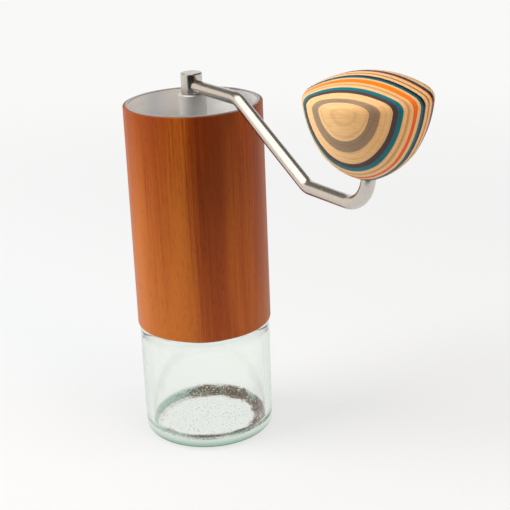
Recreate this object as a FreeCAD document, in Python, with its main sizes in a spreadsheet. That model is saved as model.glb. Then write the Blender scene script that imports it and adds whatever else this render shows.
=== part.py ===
import FreeCAD
import Part
import Sketcher
import math
import os

doc = FreeCAD.newDocument("hand_grinder")
sheet = doc.addObject("Spreadsheet::Sheet", "sizes")

# Driving dimensions in millimetres. Heights are measured up from the floor, radii from the shaft's axis.
dims = {
    # Body: a wood sleeve round a steel tube
    "body_radius": 30,
    "sleeve_wall": 1.2,
    "tube_wall": 1.2,
    "body_low": 52.6,
    "body_top": 152.6,
    "rim_lip": 0.35,
    # Glass jar and its screw neck
    "jar_radius": 29.3,
    "jar_wall": 3.3,
    "jar_floor": 3.1,
    "jar_base_round": 4,
    "jar_inner_round": 4,
    "jar_shoulder": 52.2,
    "jar_shoulder_round": 2.5,
    "jar_throat_low": 46.5,
    "jar_throat_high": 52,
    "jar_throat_round": 6.5,
    "neck_radius": 24.9,
    "neck_wall": 3,
    "neck_top": 65.6,
    "neck_round": 1,
    # Jar thread: ridge on the neck, wider groove in the collar
    "thread_pitch": 4,
    "thread_rise": 5,
    "thread_start": 56.2,
    "thread_root": 24.5,
    "thread_crest": 26.1,
    "ridge_half_root": 1.1,
    "ridge_half_crest": 0.45,
    "groove_turns_down": 8,
    "groove_rise": 14,
    "groove_mouth": 25,
    "groove_crest": 26.55,
    "groove_half_mouth": 1.6,
    "groove_half_crest": 0.95,
    "collar_low": 53,
    "collar_top": 70,
    "collar_bore": 25.3,
    "collar_flange_low": 66.9,
    "collar_flange_bore": 22.2,
    "seal_low": 65.75,
    "seal_top": 66.75,
    "seal_inner": 22.4,
    "seal_outer": 24.8,
    # Outer burr, its carrier, retainer and funnel
    "retainer_top": 71.4,
    "retainer_bore": 21.5,
    "retainer_radius": 27.3,
    "carrier_top": 95,
    "carrier_seat": 92,
    "carrier_bore": 24,
    "carrier_mouth": 20.6,
    "burr_bore_low": 19.75,
    "burr_bore_waist": 17.6,
    "burr_bore_top": 20.4,
    "burr_waist": 86,
    "burr_band": 74,
    "ring_tooth_count": 30,
    "ring_tooth_half": 1.1,
    "ring_tooth_in": 17,
    "ring_tooth_out": 21,
    "funnel_foot": 22,
    "funnel_lip": 26.6,
    "funnel_skirt": 102.6,
    "funnel_throat": 96,
    # Bearing frame
    "frame_low": 104,
    "frame_low_ring_top": 111,
    "frame_high_ring_low": 122,
    "frame_top": 130,
    "frame_ring_inner": 25.6,
    "hub_radius": 11.6,
    "hub_lip_bore": 8.4,
    "low_hub_low": 104.5,
    "low_hub_top": 111.5,
    "high_hub_low": 123,
    "arm_inner": 10.5,
    "arm_outer": 26.6,
    "arm_half": 2.2,
    "arm_rise": 5.5,
    "low_arm_low": 105,
    "high_arm_low": 123.5,
    "rib_inner": 25.8,
    "rib_outer": 27.2,
    "rib_half": 3,
    "arm_count": 3,
    # Ball bearings
    "bearing_bore": 5,
    "bearing_radius": 9.5,
    "bearing_half_width": 2.5,
    "inner_ring_radius": 6.3,
    "outer_ring_bore": 8.2,
    "ball_circle": 7.25,
    "ball_radius": 1.19,
    "race_round": 1.3,
    "race_half_chord": 0.8874,
    "cage_half_wide": 0.35,
    "cage_half_high": 0.5,
    "ball_count": 9,
    "low_bearing_low": 105.5,
    "high_bearing_low": 124,
    # Shaft
    "shaft_radius": 6,
    "shaft_shoulder": 129,
    "shaft_top": 156,
    "shaft_edge": 0.4,
    "drive_top": 162.4,
    "drive_half_flat": 3,
    "drive_corner": 3.4641,
    "drive_half_corner": 1.7321,
    "key_radius": 4.8,
    "key_half_flat": 4.05,
    "key_count": 2,
    "key_top": 100.5,
    "key_low": 72,
    "screw_radius": 3.95,
    "screw_low": 58,
    "screw_edge": 0.6,
    "clip_groove": 4.6,
    "clip_low": 104.4,
    "clip_top": 105.5,
    "clip_radius": 7,
    "clip_half_gap": 2.2,
    "washer_low": 103.4,
    "washer_bore": 5.1,
    "washer_radius": 7.2,
    # Inner burr, click plate, spring and dial
    "cone_low": 72.76,
    "cone_band": 73.16,
    "cone_waist": 84.56,
    "cone_top": 98.56,
    "cone_foot": 19.2,
    "cone_middle": 14.2,
    "cone_crown": 9.5,
    "cone_bore": 4.87,
    "cone_half_flat": 4.12,
    "cone_bore_half_chord": 2.5966,
    "cone_pocket": 7.3,
    "cone_pocket_floor": 92.76,
    "fine_tooth_count": 30,
    "fine_tooth_half": 0.9,
    "fine_tooth_in": 17.9,
    "fine_tooth_out": 20,
    "flute_count": 6,
    "flute_in": 9.1,
    "flute_out": 15,
    "flute_half": 2.6,
    "flute_depth": 16,
    "spring_circle": 6.15,
    "spring_wire": 0.45,
    "spring_low": 93.31,
    "spring_pitch": 2.36,
    "spring_rise": 9.54,
    "plate_low": 70.76,
    "plate_radius": 8.8,
    "dial_low": 59.06,
    "dial_top": 70.56,
    "dial_bore": 4,
    "dial_radius": 10.5,
    "dial_edge": 0.8,
    "dial_scallop_count": 12,
    "dial_scallop_circle": 11.2,
    "dial_scallop_radius": 1.5,
    # Crank: hub, bent rod and pin
    "crank_hub_radius": 4.6,
    "crank_hub_low": 156.2,
    "crank_hub_top": 164.9,
    "crank_hub_edge": 0.6,
    "socket_half_flat": 3.1,
    "socket_corner": 3.5796,
    "socket_half_corner": 1.7898,
    "socket_depth": 6.5,
    "rod_radius": 2.75,
    "rod_start": 2.8,
    "crank_level": 159.3,
    "bend_one_reach": 35.2,
    "bend_two_reach": 81.7,
    "crank_low_level": 132.7,
    "crank_reach": 118.3,
    "bend_round": 8,
    "turn_up_round": 13,
    "pin_low": 146.5,
    "pin_top": 176,
    "pin_radius": 2.3,
    "knob_clip_low": 174.4,
    "knob_clip_top": 175.2,
    "knob_clip_radius": 3.9,
    # Knob, turned about the crank's pin; the dome's radius puts its centre on that axis
    "knob_low": 145,
    "knob_hole": 4.3,
    "knob_hole_top": 177,
    "knob_foot_radius": 16.75,
    "knob_foot_height": 154.45,
    "knob_radius": 23.1,
    "knob_wide_height": 173.2,
    "knob_shoulder_radius": 21,
    "knob_shoulder_height": 176.6,
    "knob_top": 182.6,
    "knob_foot_round": 27.5,
    "knob_flank_round": 42,
    "knob_shoulder_round": 4.3,
    "knob_dome_round": 39.75,
    "bush_low": 144.8,
    "bush_step": 146.7,
    "bush_top": 174,
    "bush_mouth": 2.95,
    "bush_bore": 2.36,
    # Countersunk screws
    "frame_screw_radius": 1.25,
    "frame_screw_head": 2.2,
    "frame_screw_face": 28.65,
    "frame_screw_neck": 27.7,
    "frame_screw_tip": 24.6,
    "frame_screw_tip_high": 26,
    "frame_screw_low": 82,
    "frame_screw_high": 126,
    "screw_room": 0.05,
    "retainer_screw_circle": 25.75,
    "retainer_screw_radius": 0.8,
    "retainer_screw_head": 1.4,
    "retainer_screw_neck": 70.9,
    "retainer_screw_tip": 78,
}
for row, (alias, size) in enumerate(dims.items(), start=1):
    sheet.set(f"A{row}", alias)
    sheet.set(f"B{row}", str(size))
    sheet.setAlias(f"B{row}", alias)
doc.recompute()

full_turn = 360
nodes = []
cuts = []


# A size is written as sheet names joined by plus and minus signs: its value now, and its formula.
def value(text):
    total = 0
    sign = 1
    for word in text.split():
        if word == "+":
            sign = 1
        elif word == "-":
            sign = -1
        else:
            total += sign * dims[word]
    return total


def formula(text):
    return " ".join(word if word in "+-" else f"sizes.{word}" for word in text.split())


def bind(item, path, text):
    item.setExpression(path, formula(text))


def new_body(label):
    body = doc.addObject("PartDesign::Body", label)
    body.Label = label
    body.AllowCompound = True
    nodes.append(body)
    return body


def origin_item(body, role):
    return next(item for item in body.Origin.OriginFeatures if item.Role == role)


def new_sketch(body, role="XZ_Plane", lift=None):
    sketch = body.newObject("Sketcher::SketchObject", f"{body.Name}_sketch")
    sketch.AttachmentSupport = (origin_item(body, role), [""])
    sketch.MapMode = "FlatFace"
    if lift:
        bind(sketch, "AttachmentOffset.Base.z", lift)
    return sketch


def constrain(sketch, kind, *where, text=None):
    index = sketch.addConstraint(Sketcher.Constraint(kind, *where))
    if text:
        bind(sketch, f"Constraints[{index}]", text)


# One end of an edge is held at a point of the sketch, or on an axis where the text is None.
def hold_point(sketch, edge, end, across, along):
    if across:
        constrain(sketch, "DistanceX", -1, 1, edge, end, value(across), text=across)
    else:
        constrain(sketch, "PointOnObject", edge, end, -2)
    if along:
        constrain(sketch, "DistanceY", -1, 1, edge, end, value(along), text=along)
    else:
        constrain(sketch, "PointOnObject", edge, end, -1)


def corner_point(corner):
    across, along = corner[:2]
    return FreeCAD.Vector(value(across) if across else 0, value(along) if along else 0, 0)


# The centre of the short arc between two points that curves to the left, or to the right of the way.
def arc_between(start, finish, radius, hollow):
    way = finish - start
    reach = math.sqrt(radius ** 2 - (way.Length / 2) ** 2)
    side = FreeCAD.Vector(-way.y, way.x, 0).normalize()
    centre = (start + finish) / 2 + side * (-reach if hollow else reach)
    first, last = (finish, start) if hollow else (start, finish)
    begin = math.atan2(first.y - centre.y, first.x - centre.x)
    end = math.atan2(last.y - centre.y, last.x - centre.x)
    circle = Part.Circle(centre, FreeCAD.Vector(0, 0, 1), radius)
    return Part.ArcOfCircle(circle, begin, end)


# A closed outline, drawn anticlockwise. A corner is (across, along), then the radius of the arc that
# leaves it where that edge is round, then "hollow" where the arc curves inwards.
def outline(sketch, corners):
    points = [corner_point(corner) for corner in corners]
    edges = []
    for here, corner in enumerate(corners):
        start = points[here]
        finish = points[(here + 1) % len(points)]
        if len(corner) == 2:
            edges.append((sketch.addGeometry(Part.LineSegment(start, finish)), 1, 2))
            continue
        hollow = corner[-1] == "hollow"
        arc = sketch.addGeometry(arc_between(start, finish, value(corner[2]), hollow))
        edges.append((arc, 2, 1) if hollow else (arc, 1, 2))
        constrain(sketch, "Radius", arc, value(corner[2]), text=corner[2])
    for here, corner in enumerate(corners):
        edge = edges[here][0]
        begin = edges[here][1]
        before = edges[here - 1][0]
        before_end = edges[here - 1][2]
        constrain(sketch, "Coincident", before, before_end, edge, begin)
        hold_point(sketch, edge, begin, corner[0], corner[1])


def circle(sketch, radius, across=None, along=None):
    centre = corner_point((across, along))
    edge = sketch.addGeometry(Part.Circle(centre, FreeCAD.Vector(0, 0, 1), value(radius)))
    constrain(sketch, "Radius", edge, value(radius), text=radius)
    hold_point(sketch, edge, 3, across, along)


# Half a disc to the right of an upright line, which is the first edge of the sketch
def half_disc(sketch, across, along, radius):
    top = f"{along} + {radius}"
    foot = f"{along} - {radius}"
    line = sketch.addGeometry(Part.LineSegment(corner_point((across, top)), corner_point((across, foot))))
    middle = Part.Circle(corner_point((across, along)), FreeCAD.Vector(0, 0, 1), value(radius))
    arc = sketch.addGeometry(Part.ArcOfCircle(middle, -math.pi / 2, math.pi / 2))
    constrain(sketch, "Coincident", arc, 1, line, 2)
    constrain(sketch, "Coincident", arc, 2, line, 1)
    hold_point(sketch, line, 1, across, top)
    hold_point(sketch, line, 2, across, foot)
    constrain(sketch, "PointOnObject", arc, 3, line)


# A feature that takes material away is measured, because one that misses the solid shows no error.
def count_cut(body, feature, before):
    doc.recompute()
    cuts.append((body.Label, before - feature.Shape.Volume))


def turn_about(body, sketch, axis, kind="Revolution"):
    doc.recompute()
    before = body.Shape.Volume if kind == "Groove" else 0
    feature = body.newObject(f"PartDesign::{kind}", f"{body.Name}_turned")
    feature.Profile = (sketch, [""])
    feature.ReferenceAxis = (sketch, [axis])
    feature.Angle = full_turn
    if kind == "Groove":
        count_cut(body, feature, before)
    return feature


def turn(body, *outlines, kind="Revolution"):
    sketch = new_sketch(body)
    for corners in outlines:
        outline(sketch, corners)
    return turn_about(body, sketch, "V_Axis", kind)


def turned_body(label, *outlines):
    body = new_body(label)
    turn(body, *outlines)
    return body


# A pad or a pocket whose sketch lies level at a height and whose depth runs up from it.
def raise_sketch(body, sketch, rise, kind="Pad"):
    doc.recompute()
    before = body.Shape.Volume if kind == "Pocket" else 0
    feature = body.newObject(f"PartDesign::{kind}", f"{body.Name}_{kind.lower()}")
    feature.Profile = (sketch, [""])
    bind(feature, "Length", rise)
    if kind == "Pocket":
        feature.Reversed = True
        count_cut(body, feature, before)
    return feature


def raise_outline(body, low, rise, corners, kind="Pad"):
    sketch = new_sketch(body, "XY_Plane", low)
    outline(sketch, corners)
    return raise_sketch(body, sketch, rise, kind)


def around(body, features, count):
    pattern = body.newObject("PartDesign::PolarPattern", f"{body.Name}_round")
    pattern.Originals = features
    pattern.Axis = (origin_item(body, "Z_Axis"), [""])
    pattern.Angle = full_turn
    bind(pattern, "Occurrences", count)
    body.Tip = pattern


def wind(body, kind, pitch, rise, draw):
    sketch = new_sketch(body)
    draw(sketch)
    doc.recompute()
    before = body.Shape.Volume if kind == "SubtractiveHelix" else 0
    helix = body.newObject(f"PartDesign::{kind}", f"{body.Name}_wound")
    helix.Profile = (sketch, [""])
    helix.ReferenceAxis = (sketch, ["V_Axis"])
    helix.Mode = "pitch-height-angle"
    bind(helix, "Pitch", pitch)
    bind(helix, "Height", rise)
    if kind == "SubtractiveHelix":
        count_cut(body, helix, before)


def ring(inner, outer, low, top):
    return [(inner, low), (outer, low), (outer, top), (inner, top)]


def box(left, right, half):
    return [(left, f"- {half}"), (right, f"- {half}"), (right, half), (left, half)]


def notch(tip, mouth, half):
    return [(tip, None), (mouth, f"- {half}"), (mouth, half)]


def hexagon(corner, half_corner, half_flat):
    return [
        (corner, None),
        (half_corner, half_flat),
        (f"- {half_corner}", half_flat),
        (f"- {corner}", None),
        (f"- {half_corner}", f"- {half_flat}"),
        (half_corner, f"- {half_flat}"),
    ]


tube_outer = "body_radius - sleeve_wall"
tube_inner = "body_radius - sleeve_wall - tube_wall"


# Jar of clear glass: one turned outline with a screw ridge on its neck
def glass_jar():
    inside = "jar_radius - jar_wall"
    throat = "neck_radius - neck_wall"
    jar = turned_body("glass_jar", [
        (None, None),
        ("jar_radius - jar_base_round", None, "jar_base_round"),
        ("jar_radius", "jar_base_round"),
        ("jar_radius", "jar_shoulder - jar_shoulder_round", "jar_shoulder_round"),
        ("jar_radius - jar_shoulder_round", "jar_shoulder"),
        ("neck_radius", "jar_shoulder"),
        ("neck_radius", "neck_top - neck_round", "neck_round"),
        ("neck_radius - neck_round", "neck_top"),
        (f"{throat} + neck_round", "neck_top", "neck_round"),
        (throat, "neck_top - neck_round"),
        (throat, "jar_throat_high", "jar_throat_round", "hollow"),
        (inside, "jar_throat_low"),
        (inside, "jar_floor + jar_inner_round", "jar_inner_round", "hollow"),
        (f"{inside} - jar_inner_round", "jar_floor"),
        (None, "jar_floor"),
    ])
    wind(jar, "AdditiveHelix", "thread_pitch", "thread_rise", lambda sketch: outline(sketch, [
        ("thread_root", "thread_start - ridge_half_root"),
        ("thread_crest", "thread_start - ridge_half_crest"),
        ("thread_crest", "thread_start + ridge_half_crest"),
        ("thread_root", "thread_start + ridge_half_root"),
    ]))


def jar_collar():
    collar = turned_body("jar_collar", [
        ("collar_bore", "collar_low"),
        (tube_inner, "collar_low"),
        (tube_inner, "collar_top"),
        ("collar_flange_bore", "collar_top"),
        ("collar_flange_bore", "collar_flange_low"),
        ("collar_bore", "collar_flange_low"),
    ])
    middle = "thread_start - groove_turns_down"
    wind(collar, "SubtractiveHelix", "thread_pitch", "groove_rise", lambda sketch: outline(sketch, [
        ("groove_mouth", f"{middle} - groove_half_mouth"),
        ("groove_crest", f"{middle} - groove_half_crest"),
        ("groove_crest", f"{middle} + groove_half_crest"),
        ("groove_mouth", f"{middle} + groove_half_mouth"),
    ]))


# A radial countersunk screw, or the room cut for one, drawn along its axis at a height
def radial_screw(body, height, tip, kind):
    sketch = new_sketch(body)
    room = " + screw_room" if kind == "Groove" else ""
    side = f"{height} + frame_screw_radius{room}"
    head = f"{height} + frame_screw_head{room}"
    corners = [(tip, height), ("frame_screw_face", height), ("frame_screw_face", head)]
    if kind == "Groove":
        corners[1:2] = [("body_radius", height), ("body_radius", head)]
    outline(sketch, corners + [("frame_screw_neck", side), (tip, side)])
    return turn_about(body, sketch, "Edge1", kind)


def screw_rooms(body, *levels):
    holes = [radial_screw(body, height, tip, "Groove") for height, tip in levels]
    around(body, holes, "arm_count")


low_screw = ("frame_screw_low", "frame_screw_tip")
high_screw = ("frame_screw_high", "frame_screw_tip_high")


def steel_tube():
    tube = turned_body("steel_tube", ring(tube_inner, tube_outer, "body_low", "body_top"))
    screw_rooms(tube, low_screw, high_screw)


def wood_sleeve():
    turned_body("wood_sleeve", ring(tube_outer, "body_radius", "body_low + rim_lip", "body_top - rim_lip"))


def frame_screws():
    screws = new_body("frame_screws")
    pair = [radial_screw(screws, height, tip, "Revolution") for height, tip in (low_screw, high_screw)]
    around(screws, pair, "arm_count")


# Countersunk retainer screws stand upright on their circle, so each is turned about its own axis.
def upright_screw(body, kind):
    sketch = new_sketch(body)
    middle = "retainer_screw_circle"
    side = f"{middle} + retainer_screw_radius"
    outline(sketch, [
        (middle, "collar_top"),
        (f"{middle} + retainer_screw_head", "collar_top"),
        (side, "retainer_screw_neck"),
        (side, "retainer_screw_tip"),
        (middle, "retainer_screw_tip"),
    ])
    around(body, [turn_about(body, sketch, "Edge5", kind)], "arm_count")


def burr_carrier():
    carrier = turned_body("burr_carrier", [
        ("carrier_bore", "retainer_top"),
        (tube_inner, "retainer_top"),
        (tube_inner, "carrier_top"),
        ("carrier_mouth", "carrier_top"),
        ("carrier_mouth", "carrier_seat"),
        ("carrier_bore", "carrier_seat"),
    ])
    upright_screw(carrier, "Groove")
    doc.recompute()
    screw_rooms(carrier, low_screw)


def burr_retainer():
    plate = ring("retainer_bore", "retainer_radius", "collar_top", "retainer_top")
    retainer = turned_body("burr_retainer", plate)
    upright_screw(retainer, "Groove")


def retainer_screws():
    upright_screw(new_body("retainer_screws"), "Revolution")


def ring_burr():
    burr = turned_body("ring_burr", [
        ("burr_bore_low", "retainer_top"),
        ("carrier_bore", "retainer_top"),
        ("carrier_bore", "carrier_seat"),
        ("burr_bore_top", "carrier_seat"),
        ("burr_bore_waist", "burr_waist"),
        ("burr_bore_low", "burr_band"),
    ])
    gullet = [
        ("ring_tooth_out", None),
        ("ring_tooth_in", "ring_tooth_half"),
        ("ring_tooth_in", "- ring_tooth_half"),
    ]
    tooth = raise_outline(burr, "retainer_top", "carrier_seat - retainer_top", gullet, "Pocket")
    around(burr, [tooth], "ring_tooth_count")


def hopper_funnel():
    turned_body("hopper_funnel", [
        ("carrier_mouth", "carrier_top"),
        ("funnel_foot", "carrier_top"),
        (tube_inner, "funnel_skirt"),
        (tube_inner, "frame_low"),
        ("funnel_lip", "frame_low"),
        ("carrier_mouth", "funnel_throat"),
    ])


# Moulded frame: a ring and a hub at each bearing, joined by ribs along the wall and by arms
def bearing_frame():
    low_bearing_top = "low_bearing_low + bearing_half_width + bearing_half_width"
    frame = turned_body(
        "bearing_frame",
        ring("frame_ring_inner", tube_inner, "frame_low", "frame_low_ring_top"),
        ring("frame_ring_inner", tube_inner, "frame_high_ring_low", "frame_top"),
        [
            ("bearing_radius", "low_hub_low"),
            ("hub_radius", "low_hub_low"),
            ("hub_radius", "low_hub_top"),
            ("hub_lip_bore", "low_hub_top"),
            ("hub_lip_bore", low_bearing_top),
            ("bearing_radius", low_bearing_top),
        ],
        [
            ("hub_lip_bore", "high_hub_low"),
            ("hub_radius", "high_hub_low"),
            ("hub_radius", "frame_top"),
            ("bearing_radius", "frame_top"),
            ("bearing_radius", "high_bearing_low"),
            ("hub_lip_bore", "high_bearing_low"),
        ])
    arm = box("arm_inner", "arm_outer", "arm_half")
    low_arm = raise_outline(frame, "low_arm_low", "arm_rise", arm)
    high_arm = raise_outline(frame, "high_arm_low", "arm_rise", arm)
    upright = box("rib_inner", "rib_outer", "rib_half")
    rib = raise_outline(frame, "frame_low", "frame_top - frame_low", upright)
    around(frame, [low_arm, high_arm, rib], "arm_count")
    doc.recompute()
    screw_rooms(frame, high_screw)


# Deep-groove ball bearing: two rings with a round race, and a ring of balls in their cage
def ball_bearing(name, low):
    middle = f"{low} + bearing_half_width"
    top = f"{middle} + bearing_half_width"
    turned_body(f"{name}_bearing_outer", [
        ("outer_ring_bore", low),
        ("bearing_radius", low),
        ("bearing_radius", top),
        ("outer_ring_bore", top),
        ("outer_ring_bore", f"{middle} + race_half_chord", "race_round", "hollow"),
        ("outer_ring_bore", f"{middle} - race_half_chord"),
    ])
    turned_body(f"{name}_bearing_inner", [
        ("bearing_bore", low),
        ("inner_ring_radius", low),
        ("inner_ring_radius", f"{middle} - race_half_chord", "race_round", "hollow"),
        ("inner_ring_radius", f"{middle} + race_half_chord"),
        ("inner_ring_radius", top),
        ("bearing_bore", top),
    ])
    cage = turned_body(f"{name}_ball_set", ring(
        "ball_circle - cage_half_wide", "ball_circle + cage_half_wide",
        f"{middle} - cage_half_high", f"{middle} + cage_half_high"))
    sketch = new_sketch(cage)
    half_disc(sketch, "ball_circle", middle, "ball_radius")
    around(cage, [turn_about(cage, sketch, "Edge1")], "ball_count")


# Shaft: a stout top end with the hexagon drive, bearing seats, two keyed flats and the dial's screw
def drive_shaft():
    shaft = turned_body("drive_shaft", [
        (None, "screw_low"),
        ("screw_radius - screw_edge", "screw_low"),
        ("screw_radius", "screw_low + screw_edge"),
        ("screw_radius", "key_low"),
        ("key_radius", "key_low"),
        ("key_radius", "key_top"),
        ("bearing_bore", "key_top"),
        ("bearing_bore", "clip_low"),
        ("clip_groove", "clip_low"),
        ("clip_groove", "clip_top"),
        ("bearing_bore", "clip_top"),
        ("bearing_bore", "shaft_shoulder"),
        ("shaft_radius", "shaft_shoulder"),
        ("shaft_radius", "shaft_top - shaft_edge"),
        ("shaft_radius - shaft_edge", "shaft_top"),
        (None, "shaft_top"),
    ])
    flat = raise_outline(
        shaft, "key_low", "key_top - key_low",
        box("key_half_flat", "shaft_radius", "shaft_radius"), "Pocket")
    around(shaft, [flat], "key_count")
    doc.recompute()
    raise_outline(
        shaft, "shaft_top", "drive_top - shaft_top",
        hexagon("drive_corner", "drive_half_corner", "drive_half_flat"))


def shaft_clip():
    clip = turned_body("shaft_clip", ring("clip_groove", "clip_radius", "clip_low", "clip_top"))
    raise_outline(
        clip, "clip_low", "clip_top - clip_low",
        box("- shaft_radius - shaft_radius", "- screw_edge", "clip_half_gap"), "Pocket")


def spring_washer():
    turned_body("spring_washer", ring("washer_bore", "washer_radius", "washer_low", "clip_low"))


def burr_spring():
    wind(new_body("burr_spring"), "AdditiveHelix", "spring_pitch", "spring_rise",
         lambda sketch: circle(sketch, "spring_wire", "spring_circle", "spring_low"))


# A keyed bore: round, with the two flats of the shaft left standing inside it
def keyed_bore(body, low, rise):
    sketch = new_sketch(body, "XY_Plane", low)
    chord = "cone_bore_half_chord"
    outline(sketch, [
        ("cone_half_flat", f"- {chord}"),
        ("cone_half_flat", chord, "cone_bore"),
        ("- cone_half_flat", chord),
        ("- cone_half_flat", f"- {chord}", "cone_bore"),
    ])
    raise_sketch(body, sketch, rise, "Pocket")


def cone_burr():
    cone = turned_body("cone_burr", [
        (None, "cone_low"),
        ("cone_foot", "cone_low"),
        ("cone_foot", "cone_band"),
        ("cone_middle", "cone_waist"),
        ("cone_crown", "cone_top"),
        ("cone_pocket", "cone_top"),
        ("cone_pocket", "cone_pocket_floor"),
        (None, "cone_pocket_floor"),
    ])
    keyed_bore(cone, "cone_low", "cone_top - cone_low")
    tooth = raise_outline(
        cone, "cone_low", "cone_top - cone_low",
        notch("fine_tooth_in", "fine_tooth_out", "fine_tooth_half"), "Pocket")
    around(cone, [tooth], "fine_tooth_count")
    doc.recompute()
    flute = raise_outline(
        cone, "cone_top - flute_depth", "flute_depth",
        notch("flute_in", "flute_out", "flute_half"), "Pocket")
    around(cone, [flute], "flute_count")


def click_plate():
    plate = turned_body("click_plate", [
        (None, "plate_low"),
        ("plate_radius", "plate_low"),
        ("plate_radius", "cone_low"),
        (None, "cone_low"),
    ])
    keyed_bore(plate, "plate_low", "cone_low - plate_low")


def setting_dial():
    dial = turned_body("setting_dial", [
        ("dial_bore", "dial_low"),
        ("dial_radius - dial_edge", "dial_low", "dial_edge"),
        ("dial_radius", "dial_low + dial_edge"),
        ("dial_radius", "dial_top"),
        ("dial_bore", "dial_top"),
    ])
    sketch = new_sketch(dial, "XY_Plane", "dial_low")
    circle(sketch, "dial_scallop_radius", "dial_scallop_circle")
    scallop = raise_sketch(dial, sketch, "dial_top - dial_low", "Pocket")
    around(dial, [scallop], "dial_scallop_count")


def crank_hub():
    hub = turned_body("crank_hub", [
        (None, "crank_hub_low"),
        ("crank_hub_radius", "crank_hub_low"),
        ("crank_hub_radius", "crank_hub_top - crank_hub_edge", "crank_hub_edge"),
        ("crank_hub_radius - crank_hub_edge", "crank_hub_top"),
        (None, "crank_hub_top"),
    ])
    raise_outline(
        hub, "crank_hub_low", "socket_depth",
        hexagon("socket_corner", "socket_half_corner", "socket_half_flat"), "Pocket")


# The rod's middle line: straight runs between corners, each corner rounded by a tangent arc
def rod_path(sketch, corners, rounds):
    points = [corner_point(corner) for corner in corners]
    begins = [points[0]]
    ends = []
    for here, name in enumerate(rounds, start=1):
        back = (points[here - 1] - points[here]).normalize()
        ahead = (points[here + 1] - points[here]).normalize()
        cut = value(name) / math.tan(back.getAngle(ahead) / 2)
        ends.append(points[here] + back * cut)
        begins.append(points[here] + ahead * cut)
    ends.append(points[-1])
    runs = [end - start for start, end in zip(begins, ends)]
    right_turns = [here.cross(after).z < 0 for here, after in zip(runs, runs[1:])]
    lines = [sketch.addGeometry(Part.LineSegment(start, end)) for start, end in zip(begins, ends)]
    arcs = [
        sketch.addGeometry(arc_between(ends[here], begins[here + 1], value(name), right_turns[here]))
        for here, name in enumerate(rounds)
    ]
    for here, name in enumerate(rounds):
        near, far = (2, 1) if right_turns[here] else (1, 2)
        constrain(sketch, "Tangent", lines[here], 2, arcs[here], near)
        constrain(sketch, "Tangent", arcs[here], far, lines[here + 1], 1)
        constrain(sketch, "Radius", arcs[here], value(name), text=name)
        mark = sketch.addGeometry(Part.Point(points[here + 1]), True)
        hold_point(sketch, mark, 1, *corners[here + 1])
        constrain(sketch, "PointOnObject", mark, 1, lines[here])
        constrain(sketch, "PointOnObject", mark, 1, lines[here + 1])
    hold_point(sketch, lines[0], 1, *corners[0])
    hold_point(sketch, lines[-1], 2, *corners[-1])
    order = [lines[0]]
    for arc, line in zip(arcs, lines[1:]):
        order += [arc, line]
    return [f"Edge{edge + 1}" for edge in order]


# Bent rod: its inner end is hollowed to sit against the round hub, its outer end carries the knob's pin
def crank_rod():
    rod = new_body("crank_rod")
    path = new_sketch(rod)
    edges = rod_path(path, [
        ("rod_start", "crank_level"),
        ("bend_one_reach", "crank_level"),
        ("bend_two_reach", "crank_low_level"),
        ("crank_reach", "crank_low_level"),
        ("crank_reach", "pin_low"),
    ], ["bend_round", "bend_round", "turn_up_round"])
    section = new_sketch(rod, "YZ_Plane", "rod_start")
    circle(section, "rod_radius", None, "crank_level")
    doc.recompute()
    pipe = rod.newObject("PartDesign::AdditivePipe", "crank_rod_run")
    pipe.Profile = (section, [""])
    pipe.Spine = (path, edges)
    doc.recompute()
    pin = new_sketch(rod, "XY_Plane", "pin_low")
    circle(pin, "pin_radius", "crank_reach")
    raise_sketch(rod, pin, "pin_top - pin_low")
    turn(rod, [
        (None, "crank_hub_low"),
        ("crank_hub_radius", "crank_hub_low"),
        ("crank_hub_radius", "crank_hub_top"),
        (None, "crank_hub_top"),
    ], kind="Groove")


# Pieces on the crank's pin are turned about their own axis and then moved out to it.
def on_pin(body):
    bind(body, "Placement.Base.x", "crank_reach")


def wood_knob():
    on_pin(turned_body("wood_knob", [
        ("knob_hole", "knob_low", "knob_foot_round"),
        ("knob_foot_radius", "knob_foot_height", "knob_flank_round"),
        ("knob_radius", "knob_wide_height", "knob_shoulder_round"),
        ("knob_shoulder_radius", "knob_shoulder_height", "knob_dome_round"),
        (None, "knob_top"),
        (None, "knob_hole_top"),
        ("knob_hole", "knob_hole_top"),
    ]))


def knob_bush():
    on_pin(turned_body("knob_bush", [
        ("bush_mouth", "bush_low"),
        ("knob_hole", "bush_low"),
        ("knob_hole", "bush_top"),
        ("bush_bore", "bush_top"),
        ("bush_bore", "bush_step"),
        ("bush_mouth", "bush_step"),
    ]))


def knob_clip():
    washer = ring("pin_radius", "knob_clip_radius", "knob_clip_low", "knob_clip_top")
    on_pin(turned_body("knob_clip", washer))


def jar_seal():
    turned_body("jar_seal", ring("seal_inner", "seal_outer", "seal_low", "seal_top"))


for build in (
    glass_jar, jar_seal, jar_collar, steel_tube, wood_sleeve, frame_screws, burr_carrier, burr_retainer,
    retainer_screws, ring_burr, hopper_funnel, bearing_frame, drive_shaft, shaft_clip, spring_washer,
    burr_spring, cone_burr, click_plate, setting_dial, crank_hub, crank_rod, wood_knob, knob_bush,
    knob_clip,
):
    build()
ball_bearing("lower", "low_bearing_low")
ball_bearing("upper", "high_bearing_low")
doc.recompute()

for item in doc.Objects:
    if "Invalid" in item.State or "Error" in item.State:
        raise RuntimeError(f"{item.Label} failed: {item.State}")
for label, taken in cuts:
    if taken <= 0:
        raise RuntimeError(f"a cut in {label} took nothing away")
for node in nodes:
    if node.Shape.isNull() or not node.Shape.isValid():
        raise RuntimeError(f"{node.Label} has no valid shape")

os.makedirs("parts", exist_ok=True)
for node in nodes:
    node.Shape.exportStep(f"parts/{node.Label}.step")
    print(f"{node.Label}: {len(node.Shape.Solids)} solid, {node.Shape.Volume / 1000:.2f} cm3")
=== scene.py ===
import math

import bmesh
import bpy
from mathutils import Matrix, Vector


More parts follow.
